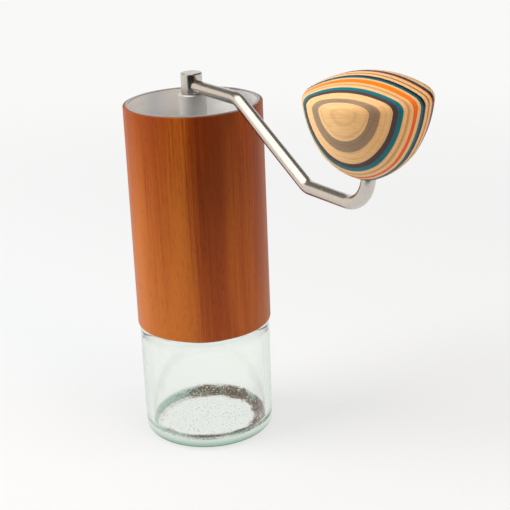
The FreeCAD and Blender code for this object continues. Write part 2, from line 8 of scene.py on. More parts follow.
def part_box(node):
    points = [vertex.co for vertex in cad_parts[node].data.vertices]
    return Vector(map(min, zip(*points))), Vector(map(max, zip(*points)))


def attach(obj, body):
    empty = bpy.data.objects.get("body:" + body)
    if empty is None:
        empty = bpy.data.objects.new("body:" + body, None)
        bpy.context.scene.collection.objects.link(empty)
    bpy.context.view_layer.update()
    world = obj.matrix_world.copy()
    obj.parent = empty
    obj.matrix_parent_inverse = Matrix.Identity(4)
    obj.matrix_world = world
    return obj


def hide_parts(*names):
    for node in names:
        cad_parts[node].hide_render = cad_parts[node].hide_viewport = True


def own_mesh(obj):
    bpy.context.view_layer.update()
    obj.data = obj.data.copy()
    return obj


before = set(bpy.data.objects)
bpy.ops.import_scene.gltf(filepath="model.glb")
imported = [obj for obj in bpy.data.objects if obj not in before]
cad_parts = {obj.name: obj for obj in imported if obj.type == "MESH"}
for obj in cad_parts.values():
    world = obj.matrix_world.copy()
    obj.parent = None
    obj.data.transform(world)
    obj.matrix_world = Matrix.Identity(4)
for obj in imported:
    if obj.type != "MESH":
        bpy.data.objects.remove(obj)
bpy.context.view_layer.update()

mm = 0.001  # a millimetre in Blender's metres
perMetre = 1000  # over a width in mm, this is a pattern's scale
noiseSpan = (0.3, 0.7)  # most of a noise's values lie between these
noiseMiddle = 0.5


# sRGB hex to the linear colour that shaders take
def colour(hexText):
    shares = [int(hexText[at:at + 2], 16) / 255 for at in (1, 3, 5)]
    linear = [s / 12.92 if s <= 0.04045 else ((s + 0.055) / 1.055) ** 2.4 for s in shares]
    return (*linear, 1)


# A node with its settings, its fixed inputs and the sockets that feed it
def addNode(tree, kind, settings=None, values=None, links=None):
    node = tree.nodes.new(kind)
    for name, setting in (settings or {}).items():
        setattr(node, name, setting)
    for socket, number in (values or {}).items():
        node.inputs[socket].default_value = number
    for socket, source in (links or {}).items():
        tree.links.new(source, node.inputs[socket])
    return node


# A material with one Principled shader, whose fixed inputs are given
def startMaterial(name, **values):
    material = bpy.data.materials.new(name)
    material.use_nodes = True
    tree = material.node_tree
    tree.nodes.clear()
    shader = addNode(tree, "ShaderNodeBsdfPrincipled", values=values)
    addNode(tree, "ShaderNodeOutputMaterial", links={"Surface": shader.outputs["BSDF"]})
    return material, tree, shader


# Fills a colour ramp from (place, colour) stops
def setRamp(ramp, stops, interpolation="LINEAR"):
    ramp.interpolation = interpolation
    while len(ramp.elements) < len(stops):
        ramp.elements.new(0.5)
    for element, (place, tint) in zip(ramp.elements, stops):
        element.position = place
        element.color = tint


# Roughness that follows a noise between two limits, and a shallow relief: bump strength and depth in mm
def addSurface(tree, shader, noise, roughness, height, relief):
    rough = addNode(tree, "ShaderNodeMapRange", values={
        "From Min": noiseSpan[0], "From Max": noiseSpan[1], "To Min": roughness[0], "To Max": roughness[1]},
        links={"Value": noise})
    bump = addNode(tree, "ShaderNodeBump", values={"Strength": relief[0], "Distance": relief[1] * mm},
                   links={"Height": height})
    tree.links.new(rough.outputs["Result"], shader.inputs["Roughness"])
    tree.links.new(bump.outputs["Normal"], shader.inputs["Normal"])


# Camera

view = {
    "position": (451.90, -271.53, 272.26),  # mm, where the photograph was taken from
    "heading": 146.39,  # degrees from +X
    "lookDown": 19.925,
    "roll": -2.29,
    "lens": 88.52, "sensor": 36,  # mm
    "clip": (0.01, 50),  # m, nearest and farthest that it draws
}


def makeCamera():
    data = bpy.data.cameras.new("photo_camera")
    data.lens = view["lens"]
    data.sensor_width = view["sensor"]
    data.clip_start, data.clip_end = view["clip"]
    camera = bpy.data.objects.new("photo_camera", data)
    bpy.context.scene.collection.objects.link(camera)
    turn = Matrix.Rotation(math.radians(view["heading"] - 90), 4, "Z")
    tilt = Matrix.Rotation(math.radians(90 - view["lookDown"]), 4, "X")
    roll = Matrix.Rotation(math.radians(view["roll"]), 4, "Z")
    camera.matrix_world = Matrix.Translation(Vector(view["position"]) * mm) @ turn @ tilt @ roll
    bpy.context.scene.camera = camera
    bpy.context.scene.view_settings.view_transform = "Standard"


makeCamera()
print("camera placed")


# Materials

# Cherry veneer, sliced, oiled and rubbed: long straight fibre, a few arched growth lines, short dark
# pores and a low satin shine. Real fibres and pores are too fine to show, so these are drawn wider.
veneer = {
    "dark": "#6E2802", "middle": "#8D3E04", "light": "#AE5F1A",
    "toneAt": (0.42, 0.70, 0.98),  # the tones of the figure that take those three colours
    "figureWide": 17, "figureLong": 14,  # mm across, and how many times longer along the grain
    "figureTurn": 54, "lineCount": 26, "lineShare": 0.03,
    "feather": 6,  # mm, how far fibres carry the figure's edges past each other
    "footPaintedLight": 0.14, "topPaintedShade": -0.14,  # painted light and shade: lighter at the foot from the table's bounce, darker towards the sleeve's top
    "fibreWide": 0.7, "fibreLong": 70, "fibreShare": 0.42,
    "pore": "#7A4A2C", "poreWide": 0.3, "poreLong": 12,
    "poreFrom": 0.63, "poreTo": 0.75, "poreShare": 0.3,  # noise that opens a pore, and how dark it gets
    "shine": 0.2, "roughness": (0.36, 0.48), "relief": (0.35, 0.02),
}


def veneerMaterial():
    low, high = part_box("wood_sleeve")
    material, tree, shader = startMaterial("oiled_cherry_veneer", **{"Specular IOR Level": veneer["shine"]})
    place = addNode(tree, "ShaderNodeTexCoord").outputs["Object"]
    alongFibre = addNode(tree, "ShaderNodeMapping", {"vector_type": "POINT"}, {
        "Scale": (1, 1, 1 / veneer["fibreLong"])}, {"Vector": place}).outputs["Vector"]
    fibres = addNode(tree, "ShaderNodeTexNoise", values={
        "Scale": perMetre / veneer["fibreWide"], "Detail": 3, "Roughness": 0.6},
        links={"Vector": alongFibre})
    fibre = fibres.outputs["Fac"]
    feather = veneer["feather"] * mm
    alongFigure = addNode(tree, "ShaderNodeMapping", {"vector_type": "POINT"}, {
        "Location": (-feather * noiseMiddle, -feather * noiseMiddle, 0),
        "Rotation": (0, 0, math.radians(veneer["figureTurn"])),
        "Scale": (1, 1, 1 / veneer["figureLong"])}, {"Vector": place}).outputs["Vector"]
    feathered = addNode(tree, "ShaderNodeVectorMath", {"operation": "MULTIPLY_ADD"}, {
        1: (feather, feather, 0)}, {0: fibres.outputs["Color"], 2: alongFigure}).outputs["Vector"]
    figure = addNode(tree, "ShaderNodeTexNoise", values={
        "Scale": perMetre / veneer["figureWide"], "Detail": 2, "Roughness": 0.45},
        links={"Vector": feathered}).outputs["Fac"]
    # growth lines are level lines of the broad figure, which gives arches where it peaks
    rings = addNode(tree, "ShaderNodeMath", {"operation": "MULTIPLY"}, {1: veneer["lineCount"]},
                    {0: figure}).outputs["Value"]
    wave = addNode(tree, "ShaderNodeMath", {"operation": "SINE"}, links={0: rings}).outputs["Value"]
    alongPore = addNode(tree, "ShaderNodeMapping", {"vector_type": "POINT"}, {
        "Scale": (1, 1, 1 / veneer["poreLong"])}, {"Vector": place}).outputs["Vector"]
    pore = addNode(tree, "ShaderNodeTexNoise", values={
        "Scale": perMetre / veneer["poreWide"], "Detail": 0}, links={"Vector": alongPore}).outputs["Fac"]
    poreMask = addNode(tree, "ShaderNodeMapRange", values={
        "From Min": veneer["poreFrom"], "From Max": veneer["poreTo"], "To Min": 0, "To Max": 1},
        links={"Value": pore}).outputs["Result"]
    lines = addNode(tree, "ShaderNodeMath", {"operation": "MULTIPLY_ADD"}, {1: veneer["lineShare"]},
                    {0: wave, 2: figure}).outputs["Value"]
    grain = addNode(tree, "ShaderNodeMath", {"operation": "MULTIPLY_ADD"}, {1: veneer["fibreShare"]},
                    {0: fibre, 2: lines}).outputs["Value"]
    # painted light low on the sleeve from the table's bounce, and painted shade towards its top
    height = addNode(tree, "ShaderNodeSeparateXYZ", links={"Vector": place}).outputs["Z"]
    paintedBounceShade = addNode(tree, "ShaderNodeMapRange", values={
        "From Min": low.z, "From Max": high.z, "To Min": veneer["footPaintedLight"], "To Max": veneer["topPaintedShade"]},
        links={"Value": height}).outputs["Result"]
    tone = addNode(tree, "ShaderNodeMath", {"operation": "ADD"}, links={0: grain, 1: paintedBounceShade}).outputs["Value"]
    ramp = addNode(tree, "ShaderNodeValToRGB", links={"Fac": tone})
    woodTints = [colour(veneer[name]) for name in ("dark", "middle", "light")]
    setRamp(ramp.color_ramp, list(zip(veneer["toneAt"], woodTints)))
    poreDark = addNode(tree, "ShaderNodeMath", {"operation": "MULTIPLY"}, {1: veneer["poreShare"]},
                       {0: poreMask}).outputs["Value"]
    mixed = addNode(tree, "ShaderNodeMix", {"data_type": "RGBA", "blend_type": "MULTIPLY"}, {
        "B": colour(veneer["pore"])}, {"Factor": poreDark, "A": ramp.outputs["Color"]})
    tree.links.new(mixed.outputs["Result"], shader.inputs["Base Color"])
    surface = addNode(tree, "ShaderNodeMath", {"operation": "SUBTRACT"}, links={
        0: fibre, 1: poreMask}).outputs["Value"]
    addSurface(tree, shader, fibre, veneer["roughness"], surface, veneer["relief"])
    return material


# Dyed maple plies, pressed into a block, turned and oiled: crisp colour bands, faint growth lines and
# short fibre in each ply, drawn wider than real fibre so that it shows, and a soft low shine
plyTints = {
    "maple": "#EABF86", "taupe": "#988068", "plum": "#4C3B3F", "teal": "#006E7C",
    "orange": "#F97E0C", "navy": "#141C24", "blue": "#036272", "tan": "#CC9A62", "line": "#AC7240",
}
# painted shade: the orange low on the knob is a darker, redder copy of the lit one
shadedLowTints = dict(plyTints, orange="#E05A1C")
# Plies from the front of the block to its back: tint and the front face of each, mm from the pin's axis
plies = [
    ("maple", 24.0), ("taupe", 21.0), ("maple", 19.3), ("plum", 16.6), ("teal", 15.1), ("maple", 13.6),
    ("tan", 12.3), ("maple", 11.4), ("orange", 9.8), ("maple", 8.3), ("blue", 6.9), ("navy", 5.5),
    ("maple", 4.0), ("line", 2.2), ("maple", 1.1), ("orange", -1.0), ("navy", -1.7), ("maple", -4.8),
    ("line", -6.0), ("maple", -6.4), ("taupe", -8.0), ("maple", -9.6), ("plum", -12.2),
    ("teal", -13.5), ("maple", -14.9), ("orange", -18.2), ("maple", -19.8),
]
plyBlock = {
    "facing": -61.8, "lean": 1.0,  # degrees from +X, and down, the way the front ply faces
    "middle": 165, "halfThick": 24.0,  # mm, height of the block's middle, and half its depth
    "waver": 0.22, "waverWide": 16,  # mm, how far and how slowly a glue line wanders
    # mm between growth lines, how far and how slowly they wander, and their scale along the ply
    "growth": 1.15, "growthWander": 1.3, "growthWide": 11, "growthAlong": 0.6,
    "fibreWide": 0.45, "fibreLong": 16,
    # what both darken the wood towards, from which part of their waves on, and how far
    "shade": "#A5754B", "growthFrom": 0.45, "growthShade": 0.15,
    "fibreFrom": 0.45, "fibreTo": 0.75, "fibreShade": 0.22,
    "shine": 0.26, "roughness": (0.40, 0.52), "relief": (0.25, 0.02),
    # the first orange ply was pressed thicker towards the block's top: mm through, reach, and heights
    "wedgeAt": 9.0, "wedgeReach": 2.4, "wedgeLow": 3, "wedgeHigh": 14, "wedgeShare": 0.85,
}


def plyMaterial(axisX):
    material, tree, shader = startMaterial("oiled_maple_plies", **{"Specular IOR Level": plyBlock["shine"]})
    place = addNode(tree, "ShaderNodeTexCoord").outputs["Object"]
    # the block's own axes: X through the plies, Z up, from the pin's axis
    inBlock = addNode(tree, "ShaderNodeMapping", {"vector_type": "TEXTURE"}, {
        "Location": (axisX, 0, plyBlock["middle"] * mm),
        "Rotation": (0, math.radians(plyBlock["lean"]), math.radians(plyBlock["facing"]))},
        {"Vector": place}).outputs["Vector"]
    parts = addNode(tree, "ShaderNodeSeparateXYZ", links={"Vector": inBlock})
    through = parts.outputs["X"]
    slow = addNode(tree, "ShaderNodeTexNoise", values={
        "Scale": perMetre / plyBlock["waverWide"], "Detail": 1}, links={"Vector": inBlock}).outputs["Fac"]
    sway = addNode(tree, "ShaderNodeMath", {"operation": "SUBTRACT"}, {1: noiseMiddle},
                   {0: slow}).outputs["Value"]
    depth = addNode(tree, "ShaderNodeMath", {"operation": "MULTIPLY_ADD"}, {1: 2 * plyBlock["waver"] * mm},
                    {0: sway, 2: through}).outputs["Value"]
    off = addNode(tree, "ShaderNodeMath", {"operation": "SUBTRACT"}, {1: plyBlock["wedgeAt"] * mm},
                  {0: depth}).outputs["Value"]
    gap = addNode(tree, "ShaderNodeMath", {"operation": "ABSOLUTE"}, links={0: off}).outputs["Value"]
    near = addNode(tree, "ShaderNodeMapRange", values={
        "From Max": plyBlock["wedgeReach"] * mm, "To Min": plyBlock["wedgeShare"], "To Max": 0},
        links={"Value": gap}).outputs["Result"]
    high = addNode(tree, "ShaderNodeMapRange", values={
        "From Min": plyBlock["wedgeLow"] * mm, "From Max": plyBlock["wedgeHigh"] * mm},
        links={"Value": parts.outputs["Z"]}).outputs["Result"]
    wedge = addNode(tree, "ShaderNodeMath", {"operation": "MULTIPLY"}, links={
        0: near, 1: high}).outputs["Value"]
    pull = addNode(tree, "ShaderNodeMath", {"operation": "MULTIPLY"}, links={
        0: wedge, 1: off}).outputs["Value"]
    depth = addNode(tree, "ShaderNodeMath", {"operation": "SUBTRACT"}, links={
        0: depth, 1: pull}).outputs["Value"]
    half = plyBlock["halfThick"]
    share = addNode(tree, "ShaderNodeMapRange", values={
        "From Min": -half * mm, "From Max": half * mm}, links={"Value": depth}).outputs["Result"]
    order, fronts = zip(*plies)
    backs = [*fronts[1:], -half]

    def bands(tints):
        ramp = addNode(tree, "ShaderNodeValToRGB", links={"Fac": share})
        stops = [((back + half) / (2 * half), colour(tints[tint])) for tint, back in zip(order, backs)]
        setRamp(ramp.color_ramp, stops[::-1], "CONSTANT")
        return ramp.outputs["Color"]

    # low on the knob the bands take the painted shade of the low tints, higher up the lit ply tints
    dyedAndShaded = addNode(tree, "ShaderNodeMix", {"data_type": "RGBA"}, links={
        "Factor": high, "A": bands(shadedLowTints), "B": bands(plyTints)})
    # growth lines lie nearly flat in a ply, so the turned surface shows them as loose rings
    alongPly = addNode(tree, "ShaderNodeMapping", {"vector_type": "POINT"}, {
        "Scale": (1, plyBlock["growthAlong"], 1)}, {"Vector": inBlock}).outputs["Vector"]
    wander = addNode(tree, "ShaderNodeTexNoise", values={
        "Scale": perMetre / plyBlock["growthWide"], "Detail": 2}, links={"Vector": alongPly}).outputs["Fac"]
    layer = addNode(tree, "ShaderNodeMath", {"operation": "MULTIPLY_ADD"}, {
        1: plyBlock["growthWander"] * mm}, {0: wander, 2: through}).outputs["Value"]
    phase = addNode(tree, "ShaderNodeMath", {"operation": "MULTIPLY"}, {
        1: math.tau / (plyBlock["growth"] * mm)}, {0: layer}).outputs["Value"]
    growth = addNode(tree, "ShaderNodeMath", {"operation": "SINE"}, links={0: phase}).outputs["Value"]
    alongFibre = addNode(tree, "ShaderNodeMapping", {"vector_type": "POINT"}, {
        "Scale": (1, 1 / plyBlock["fibreLong"], 1)}, {"Vector": inBlock}).outputs["Vector"]
    fibre = addNode(tree, "ShaderNodeTexNoise", values={
        "Scale": perMetre / plyBlock["fibreWide"], "Detail": 2}, links={"Vector": alongFibre}).outputs["Fac"]
    growthShade = addNode(tree, "ShaderNodeMapRange", values={
        "From Min": plyBlock["growthFrom"], "From Max": 1, "To Min": 0, "To Max": plyBlock["growthShade"]},
        links={"Value": growth}).outputs["Result"]
    fibreShade = addNode(tree, "ShaderNodeMapRange", values={
        "From Min": plyBlock["fibreFrom"], "From Max": plyBlock["fibreTo"],
        "To Min": 0, "To Max": plyBlock["fibreShade"]},
        links={"Value": fibre}).outputs["Result"]
    shade = addNode(tree, "ShaderNodeMath", {"operation": "ADD"}, links={
        0: growthShade, 1: fibreShade}).outputs["Value"]
    mixed = addNode(tree, "ShaderNodeMix", {"data_type": "RGBA", "blend_type": "MULTIPLY"}, {
        "B": colour(plyBlock["shade"])}, {"Factor": shade, "A": dyedAndShaded.outputs["Result"]})
    tree.links.new(mixed.outputs["Result"], shader.inputs["Base Color"])
    addSurface(tree, shader, fibre, plyBlock["roughness"], fibre, plyBlock["relief"])
    return material


# Clear soda-lime glass, pressed and fire polished: a green tinge where it is thick, slow ripples, a film
# of coffee dust left round the floor and a few loose grains
glass = {
    "ior": 1.52, "absorb": "#94B39A", "density": 26,
    "lampTint": "#EEF2EF",  # what a lamp keeps of its light on the way through a wall
    "inside": 26.1,  # mm from the axis, between the inner wall and the outer one
    "clear": "#FCFDFC", "foot": "#7FAE98", "footLow": 3, "footTop": 5.5,  # mm up from the table
    # how far a wall turns away, and its share of the foot's green
    "edgeFrom": 0.45, "edgeTo": 0.78, "edgeShare": 0.34,
    "polish": 0.01, "rippleWide": 14, "ripple": (0.2, 0.05),  # mm across, bump strength and mm deep
    "dust": "#52290F", "dustRough": 0.7,
    "dustCover": 0.25,  # the thickness that hides the glass's own colour
    "dustFrom": 19.5, "dustTo": 23, "dustStray": 6,  # mm from the axis, and how far that wanders
    "dustLow": 2.9, "dustThin": 4.9, "dustTop": 7.4,  # mm up: under the floor's top, thinning and ended
    "dustGrain": 0.8, "grainFrom": 0.32, "grainTo": 0.55,  # mm across, and the noise that leaves a grain
    "dustPatch": 9, "patchFrom": 0.35, "patchTo": 0.55, "patchLeast": 0.4,
    "looseFrom": 0.64, "looseTo": 0.70, "looseShare": 0.6,  # grains scattered over the whole floor
    # how thick the dust lies round the floor, from -180 degrees
    "dustRound": [(-180, 0.15), (-120, 0.12), (-85, 0.3), (-62, 0.2), (-45, 0.65), (-28, 0.6), (-16, 0.25),
                  (2, 0.7), (20, 0.75), (35, 0.95), (70, 1), (90, 0.7), (120, 0.75), (150, 0.7), (168, 0.3),
                  (180, 0.15)],
}


def glassMaterial():
    material, tree, shader = startMaterial("clear_soda_lime_glass", IOR=glass["ior"])
    place = addNode(tree, "ShaderNodeTexCoord").outputs["Object"]
    parts = addNode(tree, "ShaderNodeSeparateXYZ", links={"Vector": place})
    flat = addNode(tree, "ShaderNodeVectorMath", {"operation": "MULTIPLY"}, {1: (1, 1, 0)}, {0: place})
    out = addNode(tree, "ShaderNodeVectorMath", {"operation": "LENGTH"}, links={0: flat.outputs["Vector"]})
    patches = addNode(tree, "ShaderNodeTexNoise", values={
        "Scale": perMetre / glass["dustPatch"], "Detail": 1}, links={"Vector": place}).outputs["Fac"]
    stray = addNode(tree, "ShaderNodeMath", {"operation": "MULTIPLY_ADD"}, {1: glass["dustStray"] * mm}, {
        0: patches, 2: out.outputs["Value"]}).outputs["Value"]
    ring = addNode(tree, "ShaderNodeMapRange", {"interpolation_type": "SMOOTHSTEP"}, {
        "From Min": (glass["dustFrom"] + glass["dustStray"] / 2) * mm,
        "From Max": (glass["dustTo"] + glass["dustStray"] / 2) * mm}, {"Value": stray}).outputs["Result"]
    inside = addNode(tree, "ShaderNodeMath", {"operation": "LESS_THAN"}, {1: glass["inside"] * mm},
                     {0: out.outputs["Value"]}).outputs["Value"]
    aboveFloor = addNode(tree, "ShaderNodeMath", {"operation": "GREATER_THAN"}, {1: glass["dustLow"] * mm},
                         {0: parts.outputs["Z"]}).outputs["Value"]
    low = addNode(tree, "ShaderNodeMapRange", values={
        "From Min": glass["dustThin"] * mm, "From Max": glass["dustTop"] * mm, "To Min": 1, "To Max": 0},
        links={"Value": parts.outputs["Z"]}).outputs["Result"]
    specks = addNode(tree, "ShaderNodeTexNoise", values={
        "Scale": perMetre / glass["dustGrain"], "Detail": 2}, links={"Vector": place}).outputs["Fac"]
    speckMask = addNode(tree, "ShaderNodeMapRange", values={
        "From Min": glass["grainFrom"], "From Max": glass["grainTo"]},
        links={"Value": specks}).outputs["Result"]
    patchMask = addNode(tree, "ShaderNodeMapRange", values={
        "From Min": glass["patchFrom"], "From Max": glass["patchTo"],
        "To Min": glass["patchLeast"], "To Max": 1},
        links={"Value": patches}).outputs["Result"]
    turn = addNode(tree, "ShaderNodeMath", {"operation": "ARCTAN2"}, links={
        0: parts.outputs["Y"], 1: parts.outputs["X"]}).outputs["Value"]
    wayRound = addNode(tree, "ShaderNodeMapRange", values={"From Min": -math.pi, "From Max": math.pi},
                       links={"Value": turn}).outputs["Result"]
    thick = addNode(tree, "ShaderNodeValToRGB", links={"Fac": wayRound})
    stops = [((at + 180) / 360, (much, much, much, 1)) for at, much in glass["dustRound"]]
    setRamp(thick.color_ramp, stops)
    dust = inside
    for share in (aboveFloor, ring, low, speckMask, patchMask, thick.outputs["Color"]):
        dust = addNode(tree, "ShaderNodeMath", {"operation": "MULTIPLY"}, links={
            0: dust, 1: share}).outputs["Value"]
    loose = addNode(tree, "ShaderNodeMapRange", values={
        "From Min": glass["looseFrom"], "From Max": glass["looseTo"],
        "To Min": 0, "To Max": glass["looseShare"]},
        links={"Value": specks}).outputs["Result"]
    for share in (inside, aboveFloor, low, patchMask):
        loose = addNode(tree, "ShaderNodeMath", {"operation": "MULTIPLY"}, links={
            0: loose, 1: share}).outputs["Value"]
    dust = addNode(tree, "ShaderNodeMath", {"operation": "MAXIMUM"}, links={
        0: dust, 1: loose}).outputs["Value"]
    # the rounded foot is thick, so it looks greener than the walls
    atFoot = addNode(tree, "ShaderNodeMapRange", values={
        "From Min": glass["footLow"] * mm, "From Max": glass["footTop"] * mm, "To Min": 1, "To Max": 0},
        links={"Value": parts.outputs["Z"]}).outputs["Result"]
    outer = addNode(tree, "ShaderNodeMath", {"operation": "GREATER_THAN"}, {1: glass["inside"] * mm},
                    {0: out.outputs["Value"]}).outputs["Value"]
    # a wall seen edge-on is greener too, because light crosses more glass there
    turned = addNode(tree, "ShaderNodeLayerWeight").outputs["Facing"]
    atEdge = addNode(tree, "ShaderNodeMapRange", values={
        "From Min": glass["edgeFrom"], "From Max": glass["edgeTo"],
        "To Min": 0, "To Max": glass["edgeShare"]},
        links={"Value": turned}).outputs["Result"]
    greenest = addNode(tree, "ShaderNodeMath", {"operation": "MAXIMUM"}, links={
        0: atFoot, 1: atEdge}).outputs["Value"]
    green = addNode(tree, "ShaderNodeMath", {"operation": "MULTIPLY"}, links={
        0: greenest, 1: outer}).outputs["Value"]
    body = addNode(tree, "ShaderNodeMix", {"data_type": "RGBA"}, {
        "A": colour(glass["clear"]), "B": colour(glass["foot"])}, {"Factor": green})
    brown = addNode(tree, "ShaderNodeMapRange", values={"From Max": glass["dustCover"]},
                    links={"Value": dust}).outputs["Result"]
    tint = addNode(tree, "ShaderNodeMix", {"data_type": "RGBA"}, {"B": colour(glass["dust"])}, {
        "Factor": brown, "A": body.outputs["Result"]})
    tree.links.new(tint.outputs["Result"], shader.inputs["Base Color"])
    clear = addNode(tree, "ShaderNodeMapRange", values={"To Min": 1, "To Max": 0},
                    links={"Value": dust}).outputs["Result"]
    tree.links.new(clear, shader.inputs["Transmission Weight"])
    rough = addNode(tree, "ShaderNodeMapRange", values={
        "To Min": glass["polish"], "To Max": glass["dustRough"]}, links={"Value": dust}).outputs["Result"]
    tree.links.new(rough, shader.inputs["Roughness"])
    ripple = addNode(tree, "ShaderNodeTexNoise", values={
        "Scale": perMetre / glass["rippleWide"], "Detail": 0}, links={"Vector": place}).outputs["Fac"]
    bump = addNode(tree, "ShaderNodeBump", values={
        "Strength": glass["ripple"][0], "Distance": glass["ripple"][1] * mm}, links={"Height": ripple})
    tree.links.new(bump.outputs["Normal"], shader.inputs["Normal"])
    output = tree.get_output_node("ALL")
    absorb = addNode(tree, "ShaderNodeVolumeAbsorption", values={
        "Color": colour(glass["absorb"]), "Density": glass["density"]})
    tree.links.new(absorb.outputs["Volume"], output.inputs["Volume"])
    # lamps reach through the jar, so that its inside and the table under it stay bright
    lampRay = addNode(tree, "ShaderNodeLightPath").outputs["Is Shadow Ray"]
    clearShade = addNode(tree, "ShaderNodeBsdfTransparent", values={"Color": colour(glass["lampTint"])})
    either = addNode(tree, "ShaderNodeMixShader", links={
        "Fac": lampRay, 1: shader.outputs["BSDF"], 2: clearShade.outputs["BSDF"]})
    tree.links.new(either.outputs["Shader"], output.inputs["Surface"])
    return material


# Metals share one build: colour, roughness limits, how bare the metal lies, where 1 is bare and less is a
# skin that scatters light, and marks left by the tool: mm across, and scaled down along the way it ran.
# Real marks are too fine to show, so these are drawn wider.
metals = {
    # cold-drawn stainless rod, buffed: bright, mirror-like, faint haze
    "polished_stainless": {
        "tint": "#D2CCC4", "rough": (0.20, 0.28), "mark": 2.2, "stretch": (1, 1, 1), "bare": 1},
    # stainless tube, bead blasted and then brushed round: soft even grey that scatters most of its light,
    # and painted shade on its lip from a height in mm on, standing in for the dark room a barer lip would
    # mirror
    "satin_stainless": {
        "tint": "#F8F8F7", "rough": (0.55, 0.65), "mark": 0.5, "stretch": (0.05, 0.05, 1), "bare": 0.33,
        "paintedLipLow": 152.2, "paintedLipShade": "#A6A6A4"},
    # turned stainless shaft: fine feed lines, left dull from the lathe
    "turned_stainless": {
        "tint": "#CBCAC7", "rough": (0.31, 0.36), "mark": 0.4, "stretch": (0.05, 0.05, 1), "bare": 0.45},
    # hardened tool steel, ground: darker grey with a matte tooth
    "ground_tool_steel": {
        "tint": "#85868A", "rough": (0.30, 0.45), "mark": 0.6, "stretch": (1, 1, 0.2), "bare": 1},
    # bearing steel, ground and lapped: bright, with a faint sheen round the races
    "bearing_steel": {
        "tint": "#D2D2D0", "rough": (0.12, 0.2), "mark": 0.5, "stretch": (0.1, 0.1, 1), "bare": 1},
    # plain zinc-bright screws, washer, clips, click plate and spring wire: pale grey, slightly cloudy
    "bright_screw_steel": {
        "tint": "#B4B4B0", "rough": (0.24, 0.38), "mark": 0.7, "stretch": (1, 1, 1), "bare": 1},
    # sintered bronze bush, dull and slightly oily
    "oiled_bronze": {
        "tint": "#B98A4A", "rough": (0.32, 0.45), "mark": 0.5, "stretch": (1, 1, 1), "bare": 1},
}
toolMarks = {"tintShare": 0.88, "relief": (0.08, 0.01)}  # how much colour a mark keeps, and its relief


def metalMaterial(name):
    metal = metals[name]
    material, tree, shader = startMaterial(name, Metallic=metal["bare"])
    place = addNode(tree, "ShaderNodeTexCoord").outputs["Object"]
    along = addNode(tree, "ShaderNodeMapping", {"vector_type": "POINT"}, {"Scale": metal["stretch"]},
                    {"Vector": place}).outputs["Vector"]
    marks = addNode(tree, "ShaderNodeTexNoise", values={
        "Scale": perMetre / metal["mark"], "Detail": 2}, links={"Vector": along}).outputs["Fac"]
    base = colour(metal["tint"])
    worn = tuple(toolMarks["tintShare"] * part for part in base[:3]) + (1,)
    tint = addNode(tree, "ShaderNodeMix", {"data_type": "RGBA"}, {"A": base, "B": worn}, {"Factor": marks})
    if "paintedLipShade" in metal:
        # above that height the lip takes painted shade, in place of the dark room a barer lip would mirror
        height = addNode(tree, "ShaderNodeSeparateXYZ", links={"Vector": place}).outputs["Z"]
        onPaintedLip = addNode(tree, "ShaderNodeMath", {"operation": "GREATER_THAN"}, {1: metal["paintedLipLow"] * mm},
                        {0: height}).outputs["Value"]
        tint = addNode(tree, "ShaderNodeMix", {"data_type": "RGBA"}, {"B": colour(metal["paintedLipShade"])}, {
            "Factor": onPaintedLip, "A": tint.outputs["Result"]})
    tree.links.new(tint.outputs["Result"], shader.inputs["Base Color"])
    addSurface(tree, shader, marks, metal["rough"], marks, toolMarks["relief"])
    return material


# Moulded pieces share one build too: colour, the colour of its flecks, roughness limits and the grain that
# the mould left, in mm, drawn wider than the real one so that it shows
mouldings = {
    # glass-filled nylon from a spark-eroded mould: near black and matte
    "black_glass_filled_nylon": {
        "tint": "#1B1B1D", "fleck": "#2B2B2E", "rough": (0.5, 0.66), "grain": 0.35},
    # acetal from a plain mould: pale grey, waxy
    "grey_acetal": {"tint": "#BFC0C0", "fleck": "#B2B3B4", "rough": (0.42, 0.55), "grain": 0.4},
    # nylon, moulded: near black, slightly glossier than the filled one
    "black_dial_nylon": {"tint": "#202022", "fleck": "#333336", "rough": (0.42, 0.58), "grain": 0.45},
    # silicone rubber, pressed: grey-white with a dusty matte skin
    "white_silicone": {"tint": "#DAD9D4", "fleck": "#C9C8C2", "rough": (0.55, 0.7), "grain": 0.5},
}
mouldSkin = {"shine": 0.45, "relief": (0.3, 0.03)}


def mouldedMaterial(name):
    moulded = mouldings[name]
    material, tree, shader = startMaterial(name, **{"Specular IOR Level": mouldSkin["shine"]})
    place = addNode(tree, "ShaderNodeTexCoord").outputs["Object"]
    grain = addNode(tree, "ShaderNodeTexNoise", values={
        "Scale": perMetre / moulded["grain"], "Detail": 2}, links={"Vector": place}).outputs["Fac"]
    tint = addNode(tree, "ShaderNodeMix", {"data_type": "RGBA"}, {
        "A": colour(moulded["tint"]), "B": colour(moulded["fleck"])}, {"Factor": grain})
    tree.links.new(tint.outputs["Result"], shader.inputs["Base Color"])
    addSurface(tree, shader, grain, moulded["rough"], grain, mouldSkin["relief"])
    return material


knobLow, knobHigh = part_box("wood_knob")
knobAxis = (knobLow.x + knobHigh.x) / 2
finishes = {name: metalMaterial(name) for name in metals}
finishes.update({name: mouldedMaterial(name) for name in mouldings})
finishes["oiled_cherry_veneer"] = veneerMaterial()
finishes["oiled_maple_plies"] = plyMaterial(knobAxis)
finishes["clear_soda_lime_glass"] = glassMaterial()
print("materials made:", len(finishes))

